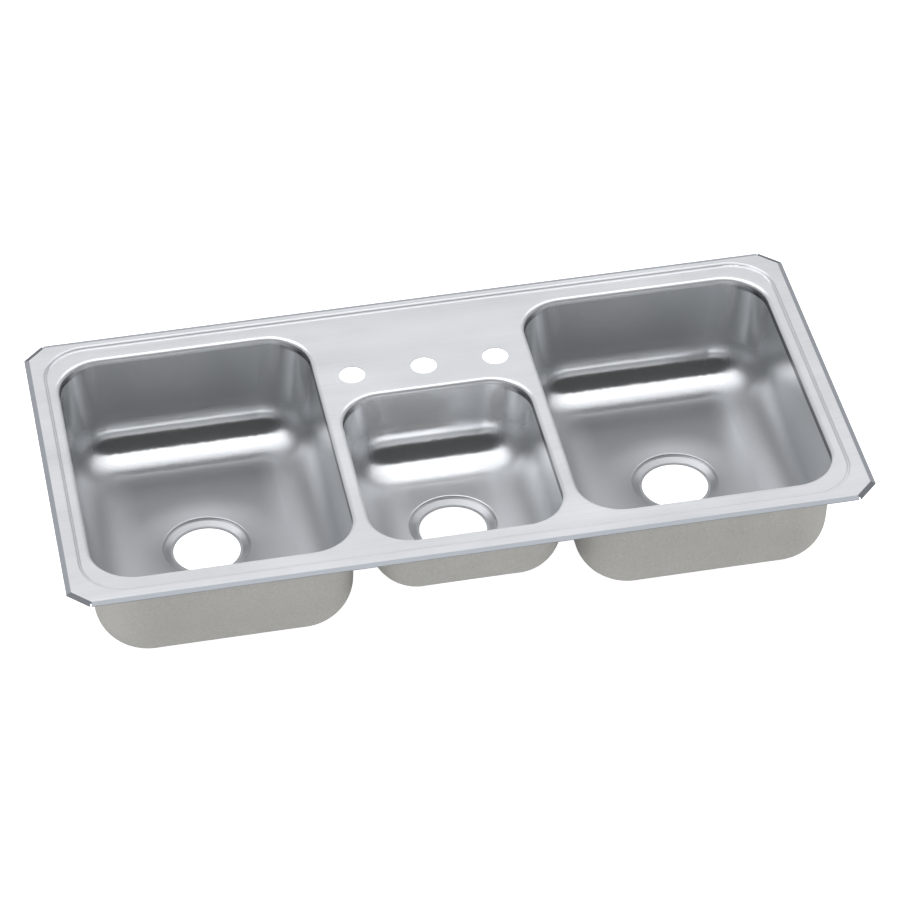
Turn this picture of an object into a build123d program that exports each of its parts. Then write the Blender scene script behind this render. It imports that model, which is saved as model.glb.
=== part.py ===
from build123d import *
import os, math

os.makedirs("parts", exist_ok=True)

# ---------------------------------------------------------------- dimensions
# Drop-in triple-bowl sink.  Millimetres, +X right, +Y back, +Z up.
# Z = 0 is the lowest point (underside of the two large drain flanges);
# X = Y = 0 is the middle of the rim.
RIM_W, RIM_D = 1092.2, 558.8        # overall 43 in x 22 in
RIM_Z = 179.0                       # height of the rim's top plane
SHEET = 1.0                         # stainless sheet
CHAMFER = 28.0                      # leg of each cut corner
BEVEL_W, BEVEL_DROP = 6.8, 2.2      # sloping edge skirt
HEM_W, HEM_H = 2.0, 0.8             # flat foot of the skirt
NOTCH_W = 2.2                       # open seam beside each corner flap
STEP_DROP = 3.5                     # inner deck lies this far below the flange
STEP_W = 7.0                        # plan width of the rounded step
STEP_SIDE, STEP_FRONT, STEP_BACK = 21.0, 20.0, 13.5   # rim edge to top of step
STEP_R = 57.0                       # corner radius at the foot of the step
ROLL_R = 6.0                        # rolled edge round each bowl
STUB = 3.0                          # straight collar under the roll

FAUCET_X, FAUCET_Y, FAUCET_D = 101.6, 127.5, 36.5     # three in line, 4 in apart

# each bowl: centre x, centre y, mouth width, mouth depth, mouth corner radius,
# floor corner radius, wall draft (per side), bottom radius, floor depth, dish
DRAIN_OUT = 3.9                     # large drains sit this far outboard of centre
BIG = dict(w=353.0, d=462.0, r=62.0, rb=76.0, draft=4.5, fil=58.0, z=-168.0, dish=(106.0, 2.0))
MID = dict(w=264.6, d=310.4, r=58.0, rb=66.0, draft=6.5, fil=61.5, z=-123.5, dish=None)
BOWLS = {
    "left":   dict(BIG, x=-329.5, y=2.0, dx=-DRAIN_OUT),
    "center": dict(MID, x=0.0, y=-77.2, dx=0.0),
    "right":  dict(BIG, x=329.5, y=2.0, dx=DRAIN_OUT),
}
DRAIN_R = 46.75                     # drain hole
RING_R = 60.0                       # edge of the drain recess
RING_DROP = 3.8
DRAIN_DROP = 8.0                    # recess depth, floor to ledge
COAT = 1.2                          # sound-deadening undercoat
COAT_TOP = -17.0
COAT_CLEAR_R = 66.0                 # bare disc round each drain recess

# mounting channels under the rim, and their hold-down clips
RAIL_W, RAIL_H, RAIL_T, RAIL_SLOT = 11.5, 9.0, 1.0, 5.0
RAIL_SIDE_X, RAIL_SIDE_L = 532.0, 430.0
RAIL_FRONT_Y, RAIL_BACK_Y, RAIL_LONG_L = -265.8, 250.8, 960.0
BOLT_D = 4.0
HEAD_A, HEAD_L, HEAD_T = 8.4, 9.0, 2.0
CLAW_Z = -27.0                      # top of the claw plate under the rim's top
CLAW_T, CLAW_WID = 2.0, 12.0
NUT_AF, NUT_T = 8.0, 4.0
BOLT_END = -43.0


def at(z):
    return RIM_Z + z


def rrect(w, d, r, x=0.0, y=0.0, z=0.0):
    return Location((x, y, at(z))) * RectangleRounded(w, d, r)


def octagon(inset, z):
    w, d = RIM_W / 2 - inset, RIM_D / 2 - inset
    c = CHAMFER - (2 - math.sqrt(2)) * inset
    pts = [(-w + c, -d), (w - c, -d), (w, -d + c), (w, d - c),
           (w - c, d), (-w + c, d), (-w, d - c), (-w, -d + c)]
    return Location((0, 0, at(z))) * make_face(Polyline(*pts, close=True))


def swept_ring(edges, w, d, r, x, y):
    """Closed ring: a section in (n, z), n outward from a rounded rectangle."""
    path = Location((x, y, 0)) * RectangleRounded(w, d, r)
    wire = path.face().outer_wire() if hasattr(path, "face") else path.outer_wire()
    pl = Plane(origin=(x, y - d / 2, 0), x_dir=(0, -1, 0), z_dir=(1, 0, 0))
    # local x runs outward (front side, -Y); local y runs up
    if pl.y_dir.Z < 0:
        pl = Plane(origin=(x, y - d / 2, 0), x_dir=(0, -1, 0), z_dir=(-1, 0, 0))
    section = pl * make_face(edges)
    return sweep(section, path=wire)


def step_section():
    h, w, t = STEP_DROP, STEP_W, SHEET
    r = (w * w + h * h) / (4 * h)
    th = math.acos(1 - (h / 2) / r)
    lo, hi = (0.0, at(-h) + r), (w, at(0) - r)       # arc centres

    def arc(c, rad, a0, a1):
        am = (a0 + a1) / 2
        p = [(c[0] + rad * math.sin(a), c[1] - rad * math.cos(a)) for a in (a0, am, a1)]
        return ThreePointArc(*p)

    def arc_hi(rad, a0, a1):
        am = (a0 + a1) / 2
        p = [(hi[0] - rad * math.sin(a), hi[1] + rad * math.cos(a)) for a in (a0, am, a1)]
        return ThreePointArc(*p)
    top1 = arc(lo, r, 0, th)
    top2 = arc_hi(r, th, 0)
    end = Line(top2 @ 1, (w, at(0) - t))
    bot2 = arc_hi(r - t, 0, th)
    bot1 = arc(lo, r + t, th, 0)
    start = Line(bot1 @ 1, top1 @ 0)
    return [top1, top2, end, bot2, bot1, start]


def roll_section():
    t, R = SHEET, ROLL_R
    zt = at(-STEP_DROP)
    zc = zt - R
    s = math.sqrt(0.5)
    a = ThreePointArc((0, zc), (R - R * s, zc + R * s), (R, zt))
    b = Line((R, zt), (R, zt - t))
    q = R - t
    c = ThreePointArc((R, zt - t), (R - q * s, zc + q * s), (t, zc))
    d = Polyline((t, zc), (t, zc - STUB), (0, zc - STUB), (0, zc))
    return [a, b, c, d]


SEAM_Z = -STEP_DROP - ROLL_R - STUB     # where deck collar and bowl meet


def make_deck():
    # sloping skirt
    up = loft([octagon(0, -BEVEL_DROP), octagon(BEVEL_W, 0)], ruled=True)
    up += extrude(octagon(0, -BEVEL_DROP - HEM_H), HEM_H)
    low = loft([octagon(HEM_W, -BEVEL_DROP - HEM_H), octagon(BEVEL_W, -SHEET)], ruled=True)
    core = extrude(octagon(BEVEL_W, -20), 30)
    skirt = up - low - core
    for sx in (-1, 1):
        for sy in (-1, 1):
            nx = sx * (RIM_W / 2 - CHAMFER - NOTCH_W / 2)
            skirt -= Location((nx, sy * (RIM_D / 2 - 1.9), at(-2))) * Box(NOTCH_W, 6.0, 12)
    # flange plate, rounded step and recessed inner plate
    x_out = RIM_W / 2 - STEP_SIDE
    y_f, y_b = -RIM_D / 2 + STEP_FRONT, RIM_D / 2 - STEP_BACK
    wi, di = 2 * (x_out - STEP_W), (y_b - y_f) - 2 * STEP_W
    yc = (y_f + y_b) / 2
    flange = extrude(octagon(BEVEL_W, -SHEET), SHEET)
    flange -= extrude(rrect(wi + 2 * STEP_W, di + 2 * STEP_W, STEP_R + STEP_W, 0, yc, -5), 10)
    step = swept_ring(step_section(), wi, di, STEP_R, 0, yc)
    plate = extrude(rrect(wi, di, STEP_R, 0, yc, -STEP_DROP - SHEET), SHEET)
    rolls = []
    for b in BOWLS.values():
        g = 2 * ROLL_R
        plate -= extrude(rrect(b["w"] + g, b["d"] + g, b["r"] + ROLL_R, b["x"], b["y"], -10), 20)
        rolls.append(swept_ring(roll_section(), b["w"], b["d"], b["r"], b["x"], b["y"]))
    for i in (-1, 0, 1):
        plate -= Location((i * FAUCET_X, FAUCET_Y, at(-STEP_DROP))) * Cylinder(FAUCET_D / 2, 10)
    deck = skirt + flange + step + plate
    for r in rolls:
        deck += r
    return deck


def bowl_solid(b, k, top=SEAM_Z):
    """Tapered, round-cornered tub, offset outward by k; solid, no drain."""
    zb = b["z"] - k
    h = top - zb
    f0 = rrect(b["w"] + 2 * k, b["d"] + 2 * k, b["r"] + k, b["x"], b["y"], SEAM_Z)
    f1 = rrect(b["w"] - 2 * b["draft"] + 2 * k, b["d"] - 2 * b["draft"] + 2 * k,
               b["rb"] + k, b["x"], b["y"], zb)
    s = loft([f1, f0], ruled=True)
    edges = s.faces().sort_by(Axis.Z)[0].edges()
    s = fillet(edges, b["fil"] + k)
    if b["dish"]:
        rd, hd = b["dish"]
        R = ((rd - RING_R - 2) ** 2 + hd ** 2) / (2 * hd)
        z0, z1 = at(zb), at(zb - hd)
        a = math.asin((rd - RING_R - 2) / R)
        mid = (rd - R * math.sin(a / 2), z0 - R * (1 - math.cos(a / 2)))
        prof = [ThreePointArc((rd, z0), mid, (RING_R + 2, z1)),
                Polyline((RING_R + 2, z1), (0, z1), (0, z0 + 8), (rd, z0 + 8), (rd, z0))]
        face = Plane.XZ * make_face(prof)
        s += Location((b["x"] + b["dx"], b["y"], 0)) * revolve(face, Axis.Z, 360)
    return s


def recess(b, outer):
    """Drain recess: rounded lip, short wall, cone and flat ledge."""
    z0 = at(b["z"] - (b["dish"][1] if b["dish"] else 0))
    s = math.sqrt(0.5)
    if not outer:
        arc = ThreePointArc((RING_R + 2, z0), (RING_R + 2 - 2 * s, z0 - 2 + 2 * s), (RING_R, z0 - 2))
        line = Polyline((RING_R, z0 - 2), (RING_R - 2, z0 - RING_DROP), (DRAIN_R + 3.5, z0 - DRAIN_DROP),
                        (0, z0 - DRAIN_DROP), (0, z0 + 4), (RING_R + 2, z0 + 4), (RING_R + 2, z0))
        prof = [arc, line]
    else:
        t = SHEET
        prof = [Polyline((RING_R + 2.2, z0 - t), (RING_R + t, z0 - 2.6), (RING_R - 2 + t, z0 - RING_DROP - 0.7),
                         (DRAIN_R + 3.8, z0 - DRAIN_DROP - t), (0, z0 - DRAIN_DROP - t),
                         (0, z0), (RING_R + 2.2, z0), (RING_R + 2.2, z0 - t))]
    face = Plane.XZ * make_face(prof)
    return Location((b["x"] + b["dx"], b["y"], 0)) * revolve(face, Axis.Z, 360)


def make_bowl(b):
    outside = bowl_solid(b, SHEET) + recess(b, True)
    inside = bowl_solid(b, 0) + recess(b, False)
    hole = Location((b["x"] + b["dx"], b["y"], at(b["z"] - 10))) * Cylinder(DRAIN_R, 60)
    return outside - inside - hole


def make_coat(b):
    k = SHEET + COAT
    c = bowl_solid(b, k) - bowl_solid(b, SHEET)
    c -= Location((0, 0, at(COAT_TOP) + 100)) * Box(2000, 2000, 200)
    c -= Location((b["x"] + b["dx"], b["y"], at(b["z"]))) * Cylinder(COAT_CLEAR_R, 60)
    return c


def make_rail(length, x, y, z_top, along):
    w, h, t = RAIL_W, RAIL_H, RAIL_T
    body = Box(length, w, h) - Box(length + 2, w - 2 * t, h - 2 * t)
    body -= Location((0, 0, -h / 2)) * Box(length + 2, RAIL_SLOT, 4 * t)
    rot = 0 if along == "x" else 90
    return Location((x, y, z_top - h / 2), (0, 0, rot)) * body


# clip frame: bolt axis is Z; local +X runs along the rail, local +Y points
# outward from the sink; z_top is the rail's top plane
def clip_bolt(z_top):
    lip_top = z_top - RAIL_H + RAIL_T
    head = Location((0, 0, lip_top + 0.3 + HEAD_T / 2)) * Box(HEAD_L, HEAD_A, HEAD_T)
    head = fillet(head.edges().filter_by(Axis.Z), 1.2)
    top = lip_top + 0.3 + 0.2
    end = at(BOLT_END)
    shank = Location((0, 0, (top + end) / 2)) * Cylinder(BOLT_D / 2, top - end)
    shank = chamfer(shank.edges().filter_by(GeomType.CIRCLE).sort_by(Axis.Z)[0], 0.5)
    return head + shank


def clip_claw():
    zt = at(CLAW_Z)
    # channel-pressed arm from a short heel to a toothed, turned-up tip
    arm = Location((9.0, 0, zt - CLAW_T / 2)) * Box(34.0, CLAW_WID, CLAW_T)
    tip = Location((26.0 - CLAW_T / 2, 0, zt + 3.0)) * Box(CLAW_T, CLAW_WID, 6.4)
    heel = Location((-8.0 + CLAW_T / 2, 0, zt + 1.5)) * Box(CLAW_T, CLAW_WID, 3.4)
    claw = arm + tip + heel
    for yy in (-3.0, 3.0):
        claw -= Location((26.0 - CLAW_T / 2, yy, zt + 6.6)) * Rotation(45, 0, 0) * Box(CLAW_T + 2, 2.6, 2.6)
    claw = fillet(arm_edges(claw), 0.9) if arm_edges(claw) else claw
    claw -= Location((0, 0, zt)) * Cylinder(BOLT_D / 2 + 0.08, 12)
    return claw


def arm_edges(s):
    return [e for e in s.edges().filter_by(Axis.Y)
            if abs(e.center().Z - (at(CLAW_Z) - CLAW_T)) < 0.01]


def clip_nut():
    zt = at(CLAW_Z) - CLAW_T - 0.35
    nut = Location((0, 0, zt - NUT_T)) * extrude(RegularPolygon(NUT_AF / 2, 6, major_radius=False), NUT_T)
    # finger wings
    for sgn in (-1, 1):
        nut += Location((sgn * 6.3, 0, zt - 1.8)) * Box(6.0, 1.6, 3.0)
    nut -= Location((0, 0, zt)) * Cylinder(BOLT_D / 2 + 0.06, 20)
    return nut


FLANGE_UNDER = at(-SHEET)
DECK_UNDER = at(-STEP_DROP - SHEET)
RAILS = {
    "rail_front": (RAIL_LONG_L, 0, RAIL_FRONT_Y, FLANGE_UNDER, "x"),
    "rail_back": (RAIL_LONG_L, 0, RAIL_BACK_Y, DECK_UNDER, "x"),
    "rail_left": (RAIL_SIDE_L, -RAIL_SIDE_X, 0, FLANGE_UNDER, "y"),
    "rail_right": (RAIL_SIDE_L, RAIL_SIDE_X, 0, FLANGE_UNDER, "y"),
}
# clip: x, y, turn of the clip frame about Z, rail top
CLIPS = {
    "left_1": (-RAIL_SIDE_X, -105.0, 90, FLANGE_UNDER),
    "left_2": (-RAIL_SIDE_X, 105.0, 90, FLANGE_UNDER),
    "right_1": (RAIL_SIDE_X, -105.0, 90, FLANGE_UNDER),
    "right_2": (RAIL_SIDE_X, 105.0, 90, FLANGE_UNDER),
    "back_1": (-240.0, RAIL_BACK_Y, 0, DECK_UNDER),
    "back_2": (240.0, RAIL_BACK_Y, 0, DECK_UNDER),
}

out = {}
out["deck"] = make_deck()
for n, b in BOWLS.items():
    out["bowl_" + n] = make_bowl(b)
    out["undercoat_" + n] = make_coat(b)
for n, a in RAILS.items():
    out[n] = make_rail(*a)
for n, (x, y, turn, z_top) in CLIPS.items():
    loc = Location((x, y, 0), (0, 0, turn))
    out["clip_bolt_" + n] = loc * clip_bolt(z_top)
    out["clip_claw_" + n] = loc * clip_claw()
    out["clip_nut_" + n] = loc * clip_nut()

for name, shape in out.items():
    solids = shape.solids()
    part = solids[0] if len(solids) == 1 else Compound(children=list(solids))
    export_step(part, "parts/%s.step" % name)
    bb = part.bounding_box()
    print("%-24s solids %d  valid %s  vol %.0f  box %s %s" % (
        name, len(solids), part.is_valid if not callable(part.is_valid) else part.is_valid(),
        part.volume, [round(v, 1) for v in (bb.min.X, bb.min.Y, bb.min.Z)],
        [round(v, 1) for v in (bb.max.X, bb.max.Y, bb.max.Z)]))
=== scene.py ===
import bpy, bmesh, math, random
from mathutils import Matrix, Vector

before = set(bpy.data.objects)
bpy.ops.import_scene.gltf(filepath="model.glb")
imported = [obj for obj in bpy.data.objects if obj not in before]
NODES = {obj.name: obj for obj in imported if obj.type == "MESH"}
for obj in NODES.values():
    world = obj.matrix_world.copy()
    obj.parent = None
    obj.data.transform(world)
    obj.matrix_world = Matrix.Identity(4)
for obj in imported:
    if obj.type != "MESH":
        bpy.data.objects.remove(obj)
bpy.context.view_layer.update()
RIM = 0.179                      # height of the rim's top plane


# ------------------------------------------------------------------ nodes
def new_mat(name):
    m = bpy.data.materials.new(name)
    m.use_nodes = True
    nt = m.node_tree
    nt.nodes.clear()
    out = nt.nodes.new("ShaderNodeOutputMaterial")
    b = nt.nodes.new("ShaderNodeBsdfPrincipled")
    nt.links.new(b.outputs[0], out.inputs[0])
    return m, nt, b


def add(nt, kind, **vals):
    n = nt.nodes.new(kind)
    for k, v in vals.items():
        if hasattr(n, k):
            setattr(n, k, v)
        else:
            n.inputs[k.replace("_", " ")].default_value = v
    return n


def coords(nt, scale):
    tc = nt.nodes.new("ShaderNodeTexCoord")
    mp = nt.nodes.new("ShaderNodeMapping")
    mp.inputs["Scale"].default_value = scale
    nt.links.new(tc.outputs["Object"], mp.inputs["Vector"])
    return mp.outputs[0]


def noise(nt, vec, scale, detail=3.0, rough=0.5):
    n = nt.nodes.new("ShaderNodeTexNoise")
    n.inputs["Scale"].default_value = scale
    n.inputs["Detail"].default_value = detail
    n.inputs["Roughness"].default_value = rough
    nt.links.new(vec, n.inputs["Vector"])
    return n.outputs["Fac"]


def ramp(nt, fac, stops):
    r = nt.nodes.new("ShaderNodeValToRGB")
    cr = r.color_ramp
    while len(cr.elements) > 1:
        cr.elements.remove(cr.elements[-1])
    cr.elements[0].position = stops[0][0]
    cr.elements[0].color = stops[0][1]
    for p, c in stops[1:]:
        e = cr.elements.new(p)
        e.color = c
    nt.links.new(fac, r.inputs[0])
    return r.outputs[0]


def maprange(nt, fac, a, b, c, d):
    n = nt.nodes.new("ShaderNodeMapRange")
    n.inputs["From Min"].default_value = a
    n.inputs["From Max"].default_value = b
    n.inputs["To Min"].default_value = c
    n.inputs["To Max"].default_value = d
    nt.links.new(fac, n.inputs["Value"])
    return n.outputs[0]


def mixf(nt, a, b, f=0.5, mode="MIX"):
    n = nt.nodes.new("ShaderNodeMix")
    n.data_type = "RGBA"
    n.blend_type = mode
    n.inputs[0].default_value = f
    nt.links.new(a, n.inputs[6])
    nt.links.new(b, n.inputs[7])
    return n.outputs[2]


def bump(nt, b, height, strength, dist):
    n = nt.nodes.new("ShaderNodeBump")
    n.inputs["Strength"].default_value = strength
    n.inputs["Distance"].default_value = dist
    nt.links.new(height, n.inputs["Height"])
    nt.links.new(n.outputs[0], b.inputs["Normal"])


def g(v, a=1.0):
    return (v, v, v, a)


def steel(name, col, rough, spread, grain=(3.0, 900.0, 900.0), aniso=0.0, cloud=0.04, bumpd=0.00002, bumps=0.25, metal=1.0):
    """Brushed stainless: long fine grain, soft clouding, slightly uneven gloss."""
    m, nt, b = new_mat(name)
    b.inputs["Metallic"].default_value = metal
    if aniso:
        b.inputs["Anisotropic"].default_value = aniso
        t = nt.nodes.new("ShaderNodeTangent")
        t.direction_type = "RADIAL"
        t.axis = "Y"
        nt.links.new(t.outputs[0], b.inputs["Tangent"])
    fine = noise(nt, coords(nt, grain), 1.0, 4.0, 0.6)
    soft = noise(nt, coords(nt, (5.0, 11.0, 11.0)), 1.0, 3.0, 0.5)
    lo = tuple(c * (1 - cloud) for c in col) + (1.0,)
    hi = tuple(min(1.0, c * (1 + cloud)) for c in col) + (1.0,)
    c1 = ramp(nt, fine, [(0.3, lo), (0.7, hi)])
    c2 = ramp(nt, soft, [(0.3, lo), (0.7, hi)])
    nt.links.new(mixf(nt, c1, c2, 0.55), b.inputs["Base Color"])
    r = mixf(nt, ramp(nt, fine, [(0.25, g(rough - spread)), (0.75, g(rough + spread))]),
             ramp(nt, soft, [(0.3, g(rough - spread)), (0.7, g(rough + spread))]), 0.4)
    nt.links.new(r, b.inputs["Roughness"])
    bump(nt, b, fine, bumps, bumpd)
    return m


deck_m = steel("deck_steel", (0.905, 0.915, 0.93), 0.42, 0.07, grain=(2.0, 450.0, 450.0), aniso=0.3, cloud=0.075, metal=0.68)


def mathn(nt, kind, x, y=None):
    n = nt.nodes.new("ShaderNodeMath")
    n.operation = kind
    for i, v in enumerate((x, y)):
        if v is None:
            continue
        if isinstance(v, (int, float)):
            n.inputs[i].default_value = v
        else:
            nt.links.new(v, n.inputs[i])
    return n.outputs[0]


def blend(nt, b, name, k, value):
    """Pull one shader input towards a fixed value where the mask k is 1."""
    src = b.inputs[name].links[0].from_socket
    mx = nt.nodes.new("ShaderNodeMix")
    mx.data_type = "RGBA"
    nt.links.new(k, mx.inputs[0])
    nt.links.new(src, mx.inputs[6])
    mx.inputs[7].default_value = value
    nt.links.new(mx.outputs[2], b.inputs[name])


def dull_edges_and_painted_shade(m):
    """The folded skirt round the rim is coloured darker and greyer, and rougher, than the deck; painted shade lines at
    the step's bends and a painted shadow in the welded join under the rolled edge.
    """
    nt = m.node_tree
    b = next(n for n in nt.nodes if n.type == "BSDF_PRINCIPLED")

    def mth(kind, x, y=None):
        n = nt.nodes.new("ShaderNodeMath")
        n.operation = kind
        for i, v in enumerate((x, y)):
            if v is None:
                continue
            if isinstance(v, (int, float)):
                n.inputs[i].default_value = v
            else:
                nt.links.new(v, n.inputs[i])
        return n.outputs[0]
    tc = nt.nodes.new("ShaderNodeTexCoord")
    sp = nt.nodes.new("ShaderNodeSeparateXYZ")
    nt.links.new(tc.outputs["Object"], sp.inputs[0])
    ax, ay = mth("ABSOLUTE", sp.outputs[0]), mth("ABSOLUTE", sp.outputs[1])
    e1 = mth("SUBTRACT", ax, 0.5461 - 0.0068)
    e2 = mth("SUBTRACT", ay, 0.2794 - 0.0068)
    e3 = mth("MULTIPLY", mth("SUBTRACT", mth("ADD", ax, ay), 0.5461 + 0.2794 - 0.028 - 0.0068 * 1.41421), 0.7071)
    e = mth("MAXIMUM", mth("MAXIMUM", e1, e2), e3)
    k = maprange(nt, e, -0.0003, 0.0004, 0.0, 1.0)
    # the bends (step and rolled edges) are burnished by the press
    z = sp.outputs[2]
    on_deck = mth("SUBTRACT", 1.0, maprange(nt, mth("ABSOLUTE", mth("SUBTRACT", z, RIM - 0.0035)), 0.00005, 0.00035, 0.0, 1.0))
    on_rim = maprange(nt, z, RIM - 0.0004, RIM - 0.0001, 0.0, 1.0)
    bend = mth("SUBTRACT", 1.0, mth("MAXIMUM", on_deck, on_rim))
    src = b.inputs["Roughness"].links[0].from_socket
    mx = nt.nodes.new("ShaderNodeMix")
    mx.data_type = "RGBA"
    nt.links.new(bend, mx.inputs[0])
    nt.links.new(src, mx.inputs[6])
    mx.inputs[7].default_value = g(0.30)
    nt.links.new(mx.outputs[2], b.inputs["Roughness"])
    # the skirt (mask k) is coloured darker and greyer and made rougher
    for name, dull in (("Base Color", (0.40, 0.42, 0.45, 1)), ("Roughness", 0.5)):
        src = b.inputs[name].links[0].from_socket
        mx = nt.nodes.new("ShaderNodeMix")
        mx.data_type = "RGBA"
        nt.links.new(k, mx.inputs[0])
        nt.links.new(src, mx.inputs[6])
        mx.inputs[7].default_value = dull if name == "Base Color" else g(dull)
        nt.links.new(mx.outputs[2], b.inputs[name])
    # painted shade: a faint dark line along the two bends of the rounded step, half strength on the deck and none on
    # the skirt
    def crease(zc):
        return maprange(nt, mth("ABSOLUTE", mth("SUBTRACT", z, zc)), 0.0002, 0.0006, 1.0, 0.0)
    line = mth("MULTIPLY", mth("MAXIMUM", crease(RIM - 0.0006), crease(RIM - 0.0029)), mth("SUBTRACT", 0.5, mth("MULTIPLY", k, 0.5)))
    blend(nt, b, "Base Color", line, (0.40, 0.42, 0.45, 1))
    # the folded corner flaps are coloured darker still
    flap = mth("MULTIPLY", k, maprange(nt, mth("SUBTRACT", e3, mth("MAXIMUM", e1, e2)), -0.0012, 0.0004, 0.0, 1.0))
    blend(nt, b, "Base Color", flap, (0.17, 0.18, 0.195, 1))
    # painted shadow: the base colour goes near black in the welded join under the rolled edge, strongest along the
    # sides
    nx = nt.nodes.new("ShaderNodeSeparateXYZ")
    nt.links.new(tc.outputs["Normal"], nx.inputs[0])
    side = maprange(nt, mth("ABSOLUTE", nx.outputs[0]), 0.35, 0.85, 0.0, 0.85)
    low = maprange(nt, z, RIM - 0.0085, RIM - 0.0070, 1.0, 0.0)
    seam_painted_shadow = mth("MULTIPLY", side, low)
    blend(nt, b, "Base Color", seam_painted_shadow, (0.05, 0.055, 0.06, 1))


dull_edges_and_painted_shade(deck_m)


def bowl_steel(name, tone, xc, half, z_floor, z_wall, y_back, z_ring, dished):
    """Satin interior: brushed walls and floor, and a smoother burnished radius along the back whose base colour is
    raised as a painted highlight; painted shade on the side radii, the drain recess and under the rolled edge.
    """
    m = steel(name, tone, 0.31, 0.016, grain=(5.0, 600.0, 600.0), cloud=0.04, metal=0.93, bumps=0.02)
    nt = m.node_tree
    b = next(n for n in nt.nodes if n.type == "BSDF_PRINCIPLED")
    tc = nt.nodes.new("ShaderNodeTexCoord")
    sp = nt.nodes.new("ShaderNodeSeparateXYZ")
    nt.links.new(tc.outputs["Object"], sp.inputs[0])
    x, y, z = sp.outputs
    # distance from the bowl's own centre line; half is where the corner radii start
    dx = mathn(nt, "ABSOLUTE", mathn(nt, "SUBTRACT", mathn(nt, "ABSOLUTE", x), xc))
    mid = maprange(nt, dx, half - 0.010, half + 0.035, 1.0, 0.0)
    hi = maprange(nt, z, z_wall, z_wall + 0.03, 0.0, 1.0)
    lo = mathn(nt, "SUBTRACT", 1.0, hi)
    bk = maprange(nt, y, y_back - 0.062, y_back - 0.034, 0.0, 1.0)
    wall = mathn(nt, "MULTIPLY", bk, hi)
    radius = mathn(nt, "MULTIPLY", mathn(nt, "MULTIPLY", bk, lo), mid)
    # the radii along the two sides are scoured matt, and their base colour is darkened as painted shade
    sides = mathn(nt, "MULTIPLY", maprange(nt, dx, half - 0.03, half + 0.01, 0.0, 1.0),
                  mathn(nt, "SUBTRACT", 1.0, mathn(nt, "MULTIPLY", bk, hi)))
    sides = mathn(nt, "MULTIPLY", sides, maprange(nt, z, z_wall, z_wall + 0.07, 1.0, 0.0))
    blend(nt, b, "Roughness", sides, g(0.41))
    blend(nt, b, "Base Color", mathn(nt, "MULTIPLY", sides, 0.8), (0.70, 0.715, 0.73, 1))
    blend(nt, b, "Roughness", mathn(nt, "MAXIMUM", wall, radius), g(0.19))
    # painted highlight: the back radius's base colour is raised near white
    blend(nt, b, "Base Color", radius, (0.97, 0.975, 0.975, 1))
    blend(nt, b, "Roughness", mathn(nt, "MULTIPLY", radius, maprange(nt, z, z_floor, z_floor + 0.010, 0.0, 1.0)), g(0.14))
    # floor a little darker than the walls; painted shade: the drain recess is darker still
    if dished:
        blend(nt, b, "Base Color", maprange(nt, z, z_floor - 0.001, z_floor + 0.004, 0.6, 0.0), (0.70, 0.715, 0.73, 1))
        blend(nt, b, "Base Color", maprange(nt, z, z_ring + 0.0003, z_ring + 0.0019, 0.5, 0.0), (0.56, 0.57, 0.59, 1))
    ring = maprange(nt, z, z_ring - 0.0006, z_ring - 0.0001, 1.0, 0.0)
    blend(nt, b, "Base Color", ring, (0.60, 0.61, 0.62, 1))
    blend(nt, b, "Roughness", ring, g(0.40))
    # shadow line where the bowl is welded under the rolled edge
    nx = nt.nodes.new("ShaderNodeSeparateXYZ")
    nt.links.new(tc.outputs["Normal"], nx.inputs[0])
    side = maprange(nt, mathn(nt, "ABSOLUTE", nx.outputs[0]), 0.35, 0.85, 0.0, 0.85)
    blend(nt, b, "Base Color", mathn(nt, "MULTIPLY", side, maprange(nt, z, RIM - 0.0190, RIM - 0.0175, 0.0, 1.0)),
          (0.06, 0.065, 0.07, 1))
    return m


big_m = bowl_steel("bowl_steel_large", (0.81, 0.825, 0.835), 0.3295, 0.1145, 0.0125, 0.055, 0.233, 0.009, True)
mid_m = bowl_steel("bowl_steel_small", (0.93, 0.945, 0.955), 0.0, 0.072, 0.0565, 0.100, 0.078, 0.0555, False)
rail_m = steel("rail_steel", (0.60, 0.61, 0.62), 0.36, 0.05, grain=(6.0, 500.0, 500.0), cloud=0.08)


def zinc():
    m, nt, b = new_mat("zinc_plate")
    b.inputs["Metallic"].default_value = 1.0
    n = noise(nt, coords(nt, (1.0, 1.0, 1.0)), 420.0, 4.0, 0.6)
    nt.links.new(ramp(nt, n, [(0.3, (0.62, 0.64, 0.66, 1)), (0.55, (0.74, 0.75, 0.75, 1)), (0.75, (0.70, 0.70, 0.64, 1))]),
                 b.inputs["Base Color"])
    nt.links.new(maprange(nt, n, 0.3, 0.7, 0.22, 0.38), b.inputs["Roughness"])
    bump(nt, b, n, 0.15, 0.00003)
    return m


def coat():
    m, nt, b = new_mat("undercoat")
    v = coords(nt, (1.0, 1.0, 1.0))
    fine = noise(nt, v, 620.0, 3.0, 0.7)
    mid = noise(nt, v, 210.0, 3.0, 0.6)
    big = noise(nt, v, 14.0, 2.0, 0.5)
    c1 = ramp(nt, fine, [(0.30, (0.375, 0.37, 0.348, 1)), (0.5, (0.485, 0.48, 0.452, 1)), (0.72, (0.66, 0.65, 0.62, 1))])
    c2 = ramp(nt, mid, [(0.32, (0.40, 0.395, 0.372, 1)), (0.68, (0.57, 0.56, 0.53, 1))])
    c3 = ramp(nt, big, [(0.3, (0.445, 0.44, 0.414, 1)), (0.7, (0.54, 0.533, 0.505, 1))])
    nt.links.new(mixf(nt, mixf(nt, c1, c2, 0.35), c3, 0.35), b.inputs["Base Color"])
    b.inputs["Roughness"].default_value = 0.82
    b.inputs["Specular IOR Level"].default_value = 0.3
    h = mixf(nt, fine, mid, 0.5)
    bump(nt, b, h, 0.6, 0.0005)
    return m


zinc_m = zinc()
coat_m = coat()


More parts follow.
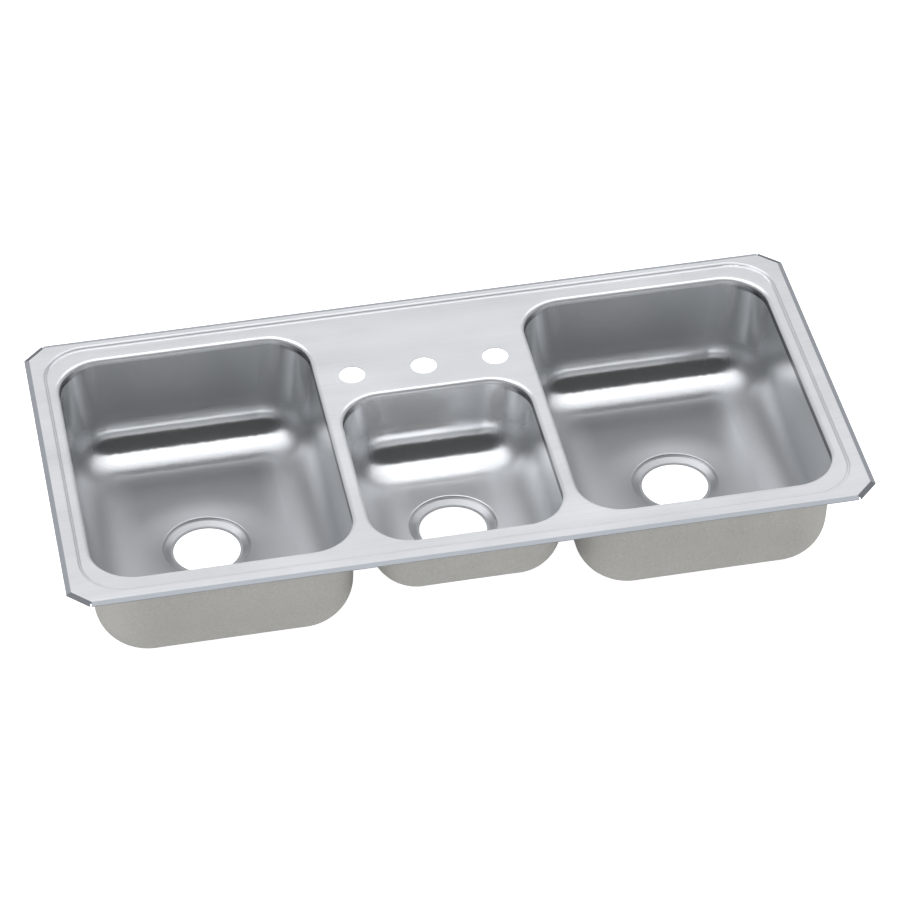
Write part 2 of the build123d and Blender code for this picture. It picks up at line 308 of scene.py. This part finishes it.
def dress(node, mat):
    o = NODES[node]
    o.data.materials.clear()
    o.data.materials.append(mat)


for n in NODES:
    if n == "deck":
        dress(n, deck_m)
    elif n.startswith("bowl_"):
        dress(n, mid_m if n == "bowl_center" else big_m)
    elif n.startswith("undercoat_"):
        dress(n, coat_m)
    elif n.startswith("rail_"):
        dress(n, rail_m)
    else:
        dress(n, zinc_m)


# ------------------------------------------------------------------ stage
def plane(name, size, z):
    me = bpy.data.meshes.new(name)
    s = size / 2
    me.from_pydata([(-s, -s, z), (s, -s, z), (s, s, z), (-s, s, z)], [], [(0, 1, 2, 3)])
    o = bpy.data.objects.new(name, me)
    bpy.context.collection.objects.link(o)
    return o


floor = plane("floor", 40.0, -0.0003)
fm, fnt, fb = new_mat("floor_white")
fb.inputs["Base Color"].default_value = (0.6, 0.6, 0.6, 1)
fb.inputs["Roughness"].default_value = 0.9
fb.inputs["Specular IOR Level"].default_value = 0.0
fb.inputs["Emission Color"].default_value = (1, 1, 1, 1)
fb.inputs["Emission Strength"].default_value = 0.9
floor.data.materials.append(fm)
floor.visible_glossy = False
floor.visible_diffuse = False
floor.visible_shadow = False

BOX_FRONT = (-0.53, -0.42)
BOX_BACK = (0.50, 0.86)
BOX_SIDE = (1.1, 1.8)
BOX_TOP, BOX_LOW = 1.28, 2.25
ZENITH_DIP = 0.12
BACKDROP, ROOM, ROOM_BACK, GROUND = 0.60, 0.03, 0.31, 0.22

# studio: one long overhead softbox reaching back from just ahead of the zenith,
# a dark room in front of it, a pale backdrop low at the back, grey below
w = bpy.data.worlds.new("studio")
bpy.context.scene.world = w
w.use_nodes = True
nt = w.node_tree
nt.nodes.clear()
wo = nt.nodes.new("ShaderNodeOutputWorld")
bg = nt.nodes.new("ShaderNodeBackground")
nt.links.new(bg.outputs[0], wo.inputs[0])


def val(x):
    return x if isinstance(x, (int, float)) else None


def op(kind, a, b=None, c=None):
    n = nt.nodes.new("ShaderNodeMath")
    n.operation = kind
    for i, x in enumerate((a, b, c)):
        if x is None:
            continue
        if val(x) is not None:
            n.inputs[i].default_value = x
        else:
            nt.links.new(x, n.inputs[i])
    return n.outputs[0]


def step(x, lo, hi):
    n = nt.nodes.new("ShaderNodeMapRange")
    n.interpolation_type = "SMOOTHSTEP"
    n.clamp = True
    n.inputs["From Min"].default_value = lo
    n.inputs["From Max"].default_value = hi
    nt.links.new(x, n.inputs["Value"])
    return n.outputs[0]


tc = nt.nodes.new("ShaderNodeTexCoord")
sx = nt.nodes.new("ShaderNodeSeparateXYZ")
nt.links.new(tc.outputs["Generated"], sx.inputs[0])
X, Y, Z = sx.outputs[0], sx.outputs[1], sx.outputs[2]
zc = op("MAXIMUM", Z, 0.001)
U, V = op("DIVIDE", X, zc), op("DIVIDE", Y, zc)
# the softbox: V is negative ahead of the zenith and grows towards the back
box = op("MULTIPLY", step(V, BOX_FRONT[0], BOX_FRONT[1]), op("SUBTRACT", 1.0, step(V, BOX_BACK[0], BOX_BACK[1])))
box = op("MULTIPLY", box, op("SUBTRACT", 1.0, step(op("ABSOLUTE", op("SUBTRACT", U, 0.10)), BOX_SIDE[0], BOX_SIDE[1])))
box = op("MULTIPLY", box, step(Z, 0.02, 0.1))
# brighter towards the back
grad = op("SUBTRACT", BOX_TOP, op("MULTIPLY", step(V, 0.25, 0.60), BOX_TOP - BOX_LOW))
grad = op("MULTIPLY", grad, op("SUBTRACT", 1.0, op("MULTIPLY", U, 0.25)))
zen = op("MULTIPLY", step(V, 0.04, 0.20), op("SUBTRACT", 1.0, step(V, 0.24, 0.44)))
grad = op("MULTIPLY", grad, op("SUBTRACT", 1.0, op("MULTIPLY", zen, ZENITH_DIP)))
light = op("MULTIPLY", box, grad)
# low pale backdrop straight behind
back = op("MULTIPLY", step(Y, 0.80, 0.97), op("SUBTRACT", 1.0, step(Z, 0.12, 0.42)))
light = op("ADD", light, op("MULTIPLY", back, BACKDROP))
# the room
room = op("ADD", ROOM, op("MULTIPLY", step(Y, -0.2, 0.8), ROOM_BACK))
light = op("ADD", light, op("MULTIPLY", room, op("SUBTRACT", 1.0, box)))
# below the horizon
down = op("SUBTRACT", 1.0, step(Z, -0.25, 0.0))
light = op("ADD", op("MULTIPLY", light, op("SUBTRACT", 1.0, down)), op("MULTIPLY", down, GROUND))
cc = nt.nodes.new("ShaderNodeCombineColor")
nt.links.new(op("MULTIPLY", light, 0.99), cc.inputs[0])
nt.links.new(light, cc.inputs[1])
nt.links.new(op("MULTIPLY", light, 1.03), cc.inputs[2])
nt.links.new(cc.outputs[0], bg.inputs["Color"])
bg.inputs["Strength"].default_value = 1.0
# seen directly, behind the floor's edge, the studio is plain white
lp = nt.nodes.new("ShaderNodeLightPath")
white = nt.nodes.new("ShaderNodeMix")
white.data_type = "RGBA"
nt.links.new(lp.outputs["Is Camera Ray"], white.inputs[0])
nt.links.new(cc.outputs[0], white.inputs[6])
white.inputs[7].default_value = g(1.0)
nt.links.new(white.outputs[2], bg.inputs["Color"])


def area(name, loc, target, size, energy, color=(1, 1, 1)):
    l = bpy.data.lights.new(name, "AREA")
    l.shape = "RECTANGLE"
    l.size, l.size_y = size
    l.energy = energy
    l.color = color
    o = bpy.data.objects.new(name, l)
    bpy.context.collection.objects.link(o)
    o.location = loc
    o.rotation_euler = (Vector(target) - Vector(loc)).to_track_quat("-Z", "Y").to_euler()
    return o


# fill for the painted undersides only: the polished steel does not mirror these
for name, loc, e in (("fill_top", (0.0, 0.0, 3.2), 40), ("fill_front", (0.0, -3.2, 0.35), 60), ("fill_left", (-3.6, 0.0, 0.35), 60),
                     ("fill_right", (3.6, 0.0, 0.35), 52), ("fill_back", (0.0, 3.2, 0.35), 50),
                     ("fill_below", (0.0, 0.0, -2.0), 14)):
    o = area(name, loc, (0.0, 0.0, 0.08), (3.0, 1.2), e)
    o.visible_glossy = False
    o.visible_camera = False


# ------------------------------------------------------------------ camera
cam = bpy.data.cameras.new("camera")
cam.sensor_fit = "HORIZONTAL"
cam.sensor_width = 36.0
cam.lens = 160.9
co = bpy.data.objects.new("camera", cam)
bpy.context.collection.objects.link(co)
R = Matrix(((0.981686, 0.133198, -0.136202), (-0.189853, 0.624864, -0.757298), (-0.015763, 0.769287, 0.638708)))
co.matrix_world = Matrix.Translation((-0.74419, -4.20310, 3.48905 + RIM)) @ R.to_4x4()
cam.clip_start, cam.clip_end = 0.1, 60.0
bpy.context.scene.camera = co
bpy.context.scene.view_settings.view_transform = "Standard"
bpy.context.scene.view_settings.look = "None"
